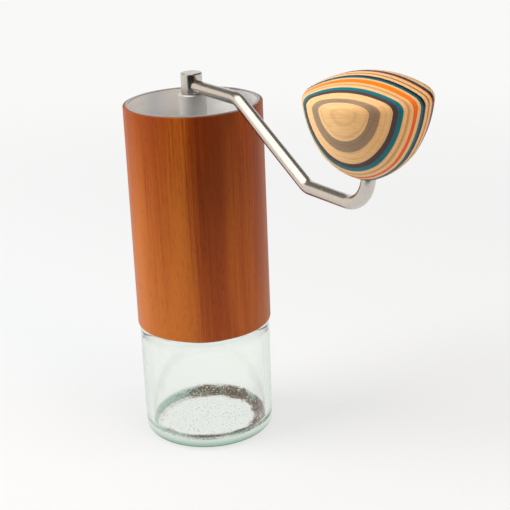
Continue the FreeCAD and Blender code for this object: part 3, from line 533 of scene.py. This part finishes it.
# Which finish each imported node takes
nodeFinish = {
    "clear_soda_lime_glass": ["glass_jar"],
    "white_silicone": ["jar_seal"],
    "satin_stainless": ["steel_tube", "burr_retainer", "hopper_funnel"],
    "turned_stainless": ["drive_shaft"],
    "oiled_cherry_veneer": ["wood_sleeve"],
    "black_glass_filled_nylon": ["jar_collar", "burr_carrier"],
    "grey_acetal": ["bearing_frame"],
    "black_dial_nylon": ["setting_dial"],
    "ground_tool_steel": ["ring_burr", "cone_burr"],
    "bearing_steel": [
        "upper_bearing_outer", "lower_bearing_outer", "upper_bearing_inner", "lower_bearing_inner",
        "upper_ball_set", "lower_ball_set",
    ],
    "bright_screw_steel": [
        "retainer_screws", "frame_screws", "shaft_clip", "spring_washer", "burr_spring", "click_plate",
        "knob_clip",
    ],
    "polished_stainless": ["crank_hub", "crank_rod"],
    "oiled_maple_plies": ["wood_knob"],
    "oiled_bronze": ["knob_bush"],
}
for finish, nodes in nodeFinish.items():
    for node in nodes:
        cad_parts[node].data.materials.clear()
        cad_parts[node].data.materials.append(finishes[finish])
print("nodes finished:", sum(len(nodes) for nodes in nodeFinish.values()))


# Pieces made here in place of plain solids

meshing = {"weld": 0.002, "sharpAngle": 40}  # mm within which vertices become one, and degrees


# Links a finished mesh, lets it ride on its body and hides the solid that it stands for
def finishPiece(name, bm, finish, body, node):
    bmesh.ops.remove_doubles(bm, verts=bm.verts[:], dist=meshing["weld"] * mm)
    bmesh.ops.recalc_face_normals(bm, faces=bm.faces[:])
    mesh = bpy.data.meshes.new(name)
    bm.to_mesh(mesh)
    bm.free()
    for face in mesh.polygons:
        face.use_smooth = True
    mesh.set_sharp_from_angle(angle=math.radians(meshing["sharpAngle"]))
    mesh.materials.append(finishes[finish])
    piece = bpy.data.objects.new(name, mesh)
    bpy.context.scene.collection.objects.link(piece)
    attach(piece, body)
    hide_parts(node)
    print(name, "made:", len(mesh.polygons), "faces")
    return piece


# Draws a straight edge from a vertex to a new one
def lineTo(bm, vert, end):
    made = bmesh.ops.extrude_vert_indiv(bm, verts=[vert])["verts"][0]
    made.co = end
    return made


# Draws an arc in the XZ plane that bulges to the right of its way of travel
def arcTo(bm, vert, end, radius, steps):
    chord = end - vert.co
    inward = Vector((-chord.z, 0, chord.x)).normalized()
    rise = math.sqrt(radius ** 2 - (chord.length / 2) ** 2)
    angle = 2 * math.asin(chord.length / 2 / radius)
    made = bmesh.ops.spin(bm, geom=[vert], cent=vert.co + chord / 2 + inward * rise, axis=(0, -1, 0),
                          angle=angle, steps=steps, use_merge=False)
    return made["geom_last"][0]


# Turns the wire in the bmesh once round an upright axis
def turnRound(bm, axisX, steps):
    bmesh.ops.spin(bm, geom=bm.verts[:] + bm.edges[:], cent=(axisX, 0, 0), axis=(0, 0, 1), angle=math.tau,
                   steps=steps, use_merge=True)


# Knob: a turned block of plies, blunt foot, swelling flank, tight shoulder and shallow dome
knob = {
    "foot": (16.75, 154.45), "wide": (23.1, 173.2), "shoulder": (21.0, 176.6),  # mm out and up
    "footRound": 27.5, "flankRound": 42, "shoulderRound": 4.3, "domeRound": 39.75,
    "hole": 4.3, "holeEdge": 0.5, "holeTop": 177,
    "holeLift": 0.05,  # mm, how far the hole's edge stands above the knob's lowest ring
    "arcSteps": 18, "turnSteps": 160,
}


def makeKnob():
    def at(out, up):
        return Vector((knobAxis + out * mm, 0, up * mm))

    low = knobLow.z / mm
    top = knobHigh.z / mm
    bm = bmesh.new()
    pole = bm.verts.new(at(0, knob["holeTop"]))
    vert = lineTo(bm, pole, at(knob["hole"], knob["holeTop"]))
    vert = lineTo(bm, vert, at(knob["hole"], low + knob["holeEdge"]))
    vert = lineTo(bm, vert, at(knob["hole"] + knob["holeEdge"], low + knob["holeLift"]))
    steps = knob["arcSteps"]
    vert = arcTo(bm, vert, at(*knob["foot"]), knob["footRound"] * mm, steps)
    vert = arcTo(bm, vert, at(*knob["wide"]), knob["flankRound"] * mm, steps)
    vert = arcTo(bm, vert, at(*knob["shoulder"]), knob["shoulderRound"] * mm, steps)
    arcTo(bm, vert, at(0, top), knob["domeRound"] * mm, steps)
    turnRound(bm, knobAxis, knob["turnSteps"])
    finishPiece("ply_knob", bm, "oiled_maple_plies", "knob", "wood_knob")


# Sleeve: veneer rolled round the tube, its two cut edges eased by hand
sleeve = {"wall": 1.2, "edgeRound": 0.35, "edgeSteps": 4, "turnSteps": 192}


def makeSleeve():
    low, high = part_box("wood_sleeve")
    inner = high.x - sleeve["wall"] * mm
    bm = bmesh.new()
    corners = [(inner, low.z), (high.x, low.z), (high.x, high.z), (inner, high.z)]
    verts = [bm.verts.new((out, 0, up)) for out, up in corners]
    for here, vert in enumerate(verts):
        bm.edges.new((vert, verts[(here + 1) % len(verts)]))
    bmesh.ops.bevel(bm, geom=verts[1:3], offset=sleeve["edgeRound"] * mm, segments=sleeve["edgeSteps"],
                    profile=0.5, affect="VERTICES", material=-1)
    turnRound(bm, 0, sleeve["turnSteps"])
    finishPiece("veneer_sleeve", bm, "oiled_cherry_veneer", "body", "wood_sleeve")


# Crank: one rod, bent twice to drop below the rim and once more to stand up into the knob
crank = {
    "radius": 2.75, "start": 2.8, "level": 159.3, "bendOne": 35.2, "bendTwo": 81.7, "lowLevel": 132.7,
    "bendRound": 8, "turnUpRound": 13,
    "pinLow": 146.5, "pinStep": 0.3, "pinRadius": 2.3, "pinEdge": 0.4,
    "sides": 48, "bendSteps": 14,
}


def makeCrank():
    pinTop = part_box("crank_rod")[1].z / mm
    corners = [
        Vector((crank["start"], 0, crank["level"])), Vector((crank["bendOne"], 0, crank["level"])),
        Vector((crank["bendTwo"], 0, crank["lowLevel"])), Vector((knobAxis / mm, 0, crank["lowLevel"])),
        Vector((knobAxis / mm, 0, crank["pinLow"])),
    ]
    rounds = [crank["bendRound"], crank["bendRound"], crank["turnUpRound"]]
    bm = bmesh.new()
    end = bmesh.ops.create_circle(bm, cap_ends=False, segments=crank["sides"], radius=crank["radius"] * mm)
    bmesh.ops.rotate(bm, verts=end["verts"], cent=(0, 0, 0), matrix=Matrix.Rotation(math.pi / 2, 3, "Y"))
    bmesh.ops.translate(bm, verts=end["verts"], vec=corners[0] * mm)
    startLoop = bm.edges[:]
    loop = startLoop
    place = corners[0]

    def push(edges, step):
        made = bmesh.ops.extrude_edge_only(bm, edges=edges)["geom"]
        verts = [g for g in made if isinstance(g, bmesh.types.BMVert)]
        bmesh.ops.translate(bm, verts=verts, vec=step * mm)
        kept = set(verts)
        return [g for g in made if isinstance(g, bmesh.types.BMEdge) and set(g.verts) <= kept]

    for before, corner, after, bendRound in zip(corners, corners[1:], corners[2:], rounds):
        wayIn = (corner - before).normalized()
        wayOut = (after - corner).normalized()
        turn = wayIn.angle(wayOut)
        axis = wayIn.cross(wayOut).normalized()
        reach = bendRound * math.tan(turn / 2)
        bendStart = corner - wayIn * reach
        loop = push(loop, bendStart - place)
        centre = bendStart + axis.cross(wayIn) * bendRound
        verts = list({vert for edge in loop for vert in edge.verts})
        made = bmesh.ops.spin(bm, geom=verts + loop, cent=centre * mm, axis=axis, angle=turn,
                              steps=crank["bendSteps"], use_merge=False)["geom_last"]
        loop = [g for g in made if isinstance(g, bmesh.types.BMEdge)]
        place = corner + wayOut * reach
    loop = push(loop, corners[-1] - place)

    # the pin is a step thinner, with its top edge broken
    def shrink(edges, radius, step):
        ring = push(edges, Vector((0, 0, step)))
        verts = list({vert for edge in ring for vert in edge.verts})
        middle = sum((vert.co for vert in verts), Vector()) / len(verts)
        share = radius * mm / (verts[0].co - middle).length
        bmesh.ops.scale(bm, verts=verts, vec=(share, share, 1), space=Matrix.Translation(-middle))
        return ring

    loop = shrink(loop, crank["pinRadius"], crank["pinStep"])
    pinRise = pinTop - crank["pinLow"] - crank["pinStep"] - crank["pinEdge"]
    loop = push(loop, Vector((0, 0, pinRise)))
    loop = shrink(loop, crank["pinRadius"] - crank["pinEdge"], crank["pinEdge"])
    for edges in (startLoop, loop):
        bmesh.ops.edgeloop_fill(bm, edges=edges)
    finishPiece("bent_crank", bm, "polished_stainless", "crank", "crank_rod")


# Spring: round wire wound between its washer and the burr's pocket; the real one closes up as the burr
# rises, this piece keeps one length
spring = {"wire": 0.45, "circle": 6.15, "pitch": 2.36, "travel": 1.44, "wireSides": 14, "turnSteps": 40}


def makeSpring():
    low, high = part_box("burr_spring")
    wire = spring["wire"] * mm
    rise = high.z - low.z - 2 * wire
    turns = rise / (spring["pitch"] * mm)
    steps = int(turns * spring["turnSteps"])
    bm = bmesh.new()
    end = bmesh.ops.create_circle(bm, cap_ends=False, segments=spring["wireSides"], radius=wire)["verts"]
    bmesh.ops.rotate(bm, verts=end, cent=(0, 0, 0), matrix=Matrix.Rotation(math.pi / 2, 3, "X"))
    bmesh.ops.translate(bm, verts=end, vec=(spring["circle"] * mm, 0, low.z + wire))
    startLoop = bm.edges[:]
    made = bmesh.ops.spin(bm, geom=end + startLoop, cent=(0, 0, 0), axis=(0, 0, 1), angle=turns * math.tau,
                          dvec=(0, 0, rise / steps), steps=steps, use_merge=False)["geom_last"]
    for edges in (startLoop, [g for g in made if isinstance(g, bmesh.types.BMEdge)]):
        bmesh.ops.edgeloop_fill(bm, edges=edges)
    piece = finishPiece("coil_spring", bm, "bright_screw_steel", "shaft", "burr_spring")
    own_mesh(piece)


makeKnob()
makeSleeve()
makeCrank()
makeSpring()


# Studio

studio = {
    "floorSize": 6.0, "floorRise": 0.00003,  # m, the rise keeps it out of the plane of the jar's base
    "floorWhite": "#FAFAF9", "floorGlow": (0.955, 0.99),  # near the object, and far from it
    # the sweep's own colour is a painted pool of light: pale near the object and painted dark far from it
    "paintedPoolTint": "#F4F4F2", "paintedFarShade": "#5A5A58", "poolNear": 0.15, "poolFar": 0.55,  # m from the object
    "seenTint": "#E0E3E6",
    "shadowNear": 0.15, "shadowFar": 0.75, "shadowShare": 0.38,  # m, and how much shade shows
    "throughShare": 0.2, "throughGlow": 0.10,  # shade seen through clear pieces, and glow for what they lose
    "roomTint": "#F3F5F7", "roomLight": 0.26, "shineTint": "#EFEAE4", "roomShine": 0.22,
    "aim": (0.03, 0, 0.1),
}
# Softboxes: watts, edge and distance in m, degrees from +X and above the table
lamps = {
    "key": {"tint": "#FFFDFA", "power": 18.0, "size": 0.9, "reach": 1.1, "side": -118, "up": 32},
    "knob": {"tint": "#FFD9B0", "power": 4.0, "size": 0.4, "reach": 1.1, "side": 8, "up": 27},
    "fill": {"tint": "#F6FAFF", "power": 3.2, "size": 0.9, "reach": 1.1, "side": 42, "up": 34},
    "top": {"tint": "#FFFFFF", "power": 4.0, "size": 0.8, "reach": 1.2, "side": 20, "up": 78},
}
# Cards that shiny pieces mirror, and the backdrop also shows through clear ones: glow, and m as above
cards = {
    "backdrop": {
        "tint": "#FFFFFF", "glow": 0.95, "reach": 1.6, "side": 149, "up": 8, "wide": 1.8, "high": 1.1},
    "window": {
        "tint": "#FFF6EC", "glow": 1.05, "reach": 0.6, "side": -146, "up": 10, "wide": 0.6, "high": 0.5},
    "strip": {
        "tint": "#FFFCF8", "glow": 2.0, "reach": 1.0, "side": -105, "up": 55, "wide": 0.7, "high": 2.0},
    "dark": {
        "tint": "#2E2B28", "glow": 0.6, "reach": 0.32, "side": -42, "up": 0, "wide": 0.5, "high": 0.4},
}
# Flag: black cloth in the hopper's mouth that keeps the key off its far wall: mm, and degrees from +X
flag = {"side": 62, "out": 16, "wide": 42, "belowRim": 5, "aboveRim": 4}


# Where something stands that is seen from the object at given angles, and its way back to the object
def studioPlace(reach, side, up):
    flat = math.cos(math.radians(up))
    away = Vector((flat * math.cos(math.radians(side)), flat * math.sin(math.radians(side)),
                   math.sin(math.radians(up))))
    return Vector(studio["aim"]) + away * reach, -away


def makeLamp(name, tint, power, size, reach, side, up):
    data = bpy.data.lights.new(name, "AREA")
    data.shape = "SQUARE"
    data.size = size
    data.energy = power
    data.color = colour(tint)[:3]
    lamp = bpy.data.objects.new(name, data)
    bpy.context.scene.collection.objects.link(lamp)
    place, back = studioPlace(reach, side, up)
    lamp.location = place
    lamp.rotation_mode = "QUATERNION"
    lamp.rotation_quaternion = back.to_track_quat("-Z", "Y")
    lamp.visible_glossy = False
    lamp.visible_transmission = False


def makeSheet(name, wide, high, material):
    bm = bmesh.new()
    bmesh.ops.create_grid(bm, x_segments=1, y_segments=1, size=0.5)  # a metre each way
    bmesh.ops.scale(bm, verts=bm.verts[:], vec=(wide, high, 1))
    mesh = bpy.data.meshes.new(name)
    bm.to_mesh(mesh)
    bm.free()
    mesh.materials.append(material)
    sheet = bpy.data.objects.new(name, mesh)
    bpy.context.scene.collection.objects.link(sheet)
    return sheet


def makeCard(name, tint, glow, reach, side, up, wide, high):
    material = startMaterial(name, Roughness=1, **{
        "Base Color": colour("#000000"), "Specular IOR Level": 0,
        "Emission Color": colour(tint), "Emission Strength": glow})[0]
    card = makeSheet(name, wide, high, material)
    place, back = studioPlace(reach, side, up)
    card.location = place
    card.rotation_mode = "QUATERNION"
    card.rotation_quaternion = back.to_track_quat("Z", "Y")
    card.visible_camera = False
    card.visible_diffuse = False
    card.visible_shadow = False
    card.visible_transmission = name == "backdrop_card"


def makeFlag():
    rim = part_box("steel_tube")[1].z
    material = startMaterial("black_flag_cloth", Roughness=1, **{"Base Color": colour("#0A0A0A")})[0]
    tall = (flag["belowRim"] + flag["aboveRim"]) * mm
    sheet = makeSheet("hopper_flag", flag["wide"] * mm, tall, material)
    side = math.radians(flag["side"])
    away = Vector((math.cos(side), math.sin(side), 0))
    sheet.location = away * flag["out"] * mm
    sheet.location.z = rim + flag["aboveRim"] * mm - tall / 2
    sheet.rotation_mode = "QUATERNION"
    sheet.rotation_quaternion = away.to_track_quat("Z", "Y")
    sheet.visible_camera = False
    sheet.visible_diffuse = False
    sheet.visible_glossy = False
    sheet.visible_transmission = False


# Matte white sweep, painted as a pool of light round the object for the light it throws back: the camera
# sees plain white with a share of the shade
def sweepMaterial():
    material, tree, shader = startMaterial("white_sweep", Roughness=0.9, **{"Specular IOR Level": 0.1})
    output = tree.get_output_node("ALL")
    place = addNode(tree, "ShaderNodeTexCoord").outputs["Object"]
    far = addNode(tree, "ShaderNodeVectorMath", {"operation": "LENGTH"}, links={0: place}).outputs["Value"]

    def fade(low, high, near, away):
        return addNode(tree, "ShaderNodeMapRange", {"interpolation_type": "SMOOTHSTEP"}, {
            "From Min": studio[low], "From Max": studio[high], "To Min": near, "To Max": away},
            {"Value": far}).outputs["Result"]

    path = addNode(tree, "ShaderNodeLightPath")
    # painted pool of light: pale near the object, painted shade far from it
    pool = addNode(tree, "ShaderNodeMix", {"data_type": "RGBA"}, {
        "A": colour(studio["paintedPoolTint"]), "B": colour(studio["paintedFarShade"])}, {
        "Factor": fade("poolNear", "poolFar", 0, 1)})
    seen = addNode(tree, "ShaderNodeMix", {"data_type": "RGBA"}, {"B": colour(studio["seenTint"])}, {
        "Factor": path.outputs["Is Camera Ray"], "A": pool.outputs["Result"]})
    tree.links.new(seen.outputs["Result"], shader.inputs["Base Color"])
    direct = addNode(tree, "ShaderNodeMath", {"operation": "MULTIPLY"}, links={
        0: path.outputs["Is Camera Ray"],
        1: fade("shadowNear", "shadowFar", 1 - studio["shadowShare"], 1)}).outputs["Value"]
    mirrored = addNode(tree, "ShaderNodeMath", {"operation": "SUBTRACT", "use_clamp": True}, links={
        0: path.outputs["Is Glossy Ray"], 1: path.outputs["Is Transmission Ray"]}).outputs["Value"]
    plain = addNode(tree, "ShaderNodeMath", {"operation": "ADD"}, links={
        0: direct, 1: mirrored}).outputs["Value"]
    share = addNode(tree, "ShaderNodeMath", {"operation": "MULTIPLY_ADD"}, {
        1: 1 - studio["throughShare"]}, {0: path.outputs["Is Transmission Ray"], 2: plain}).outputs["Value"]
    glow = addNode(tree, "ShaderNodeMath", {"operation": "MULTIPLY_ADD"}, {1: studio["throughGlow"]}, {
        0: path.outputs["Is Transmission Ray"], 2: fade("shadowNear", "shadowFar", *studio["floorGlow"])})
    white = addNode(tree, "ShaderNodeEmission", values={"Color": colour(studio["floorWhite"])}, links={
        "Strength": glow.outputs["Value"]})
    mixed = addNode(tree, "ShaderNodeMixShader", links={
        "Fac": share, 1: shader.outputs["BSDF"], 2: white.outputs["Emission"]})
    tree.links.new(mixed.outputs["Shader"], output.inputs["Surface"])
    return material


def makeStudio():
    floor = makeSheet("studio_floor", studio["floorSize"], studio["floorSize"], sweepMaterial())
    floor.location.z = studio["floorRise"]
    world = bpy.data.worlds.new("studio_room")
    bpy.context.scene.world = world
    world.use_nodes = True
    tree = world.node_tree
    tree.nodes.clear()
    path = addNode(tree, "ShaderNodeLightPath")
    room = addNode(tree, "ShaderNodeBackground", values={
        "Color": colour(studio["roomTint"]), "Strength": studio["roomLight"]})
    shine = addNode(tree, "ShaderNodeBackground", values={
        "Color": colour(studio["shineTint"]), "Strength": studio["roomShine"]})
    white = addNode(tree, "ShaderNodeBackground", values={
        "Color": colour(studio["floorWhite"]), "Strength": 1})
    clear = addNode(tree, "ShaderNodeMath", {"operation": "MAXIMUM"}, links={
        0: path.outputs["Is Glossy Ray"], 1: path.outputs["Is Transmission Ray"]}).outputs["Value"]
    shiny = addNode(tree, "ShaderNodeMixShader", links={
        "Fac": clear, 1: room.outputs["Background"], 2: shine.outputs["Background"]})
    either = addNode(tree, "ShaderNodeMixShader", links={
        "Fac": path.outputs["Is Camera Ray"], 1: shiny.outputs["Shader"], 2: white.outputs["Background"]})
    addNode(tree, "ShaderNodeOutputWorld", links={"Surface": either.outputs["Shader"]})
    for name, settings in lamps.items():
        makeLamp(name + "_softbox", **settings)
    for name, settings in cards.items():
        makeCard(name + "_card", **settings)
    makeFlag()


makeStudio()
print("studio made")
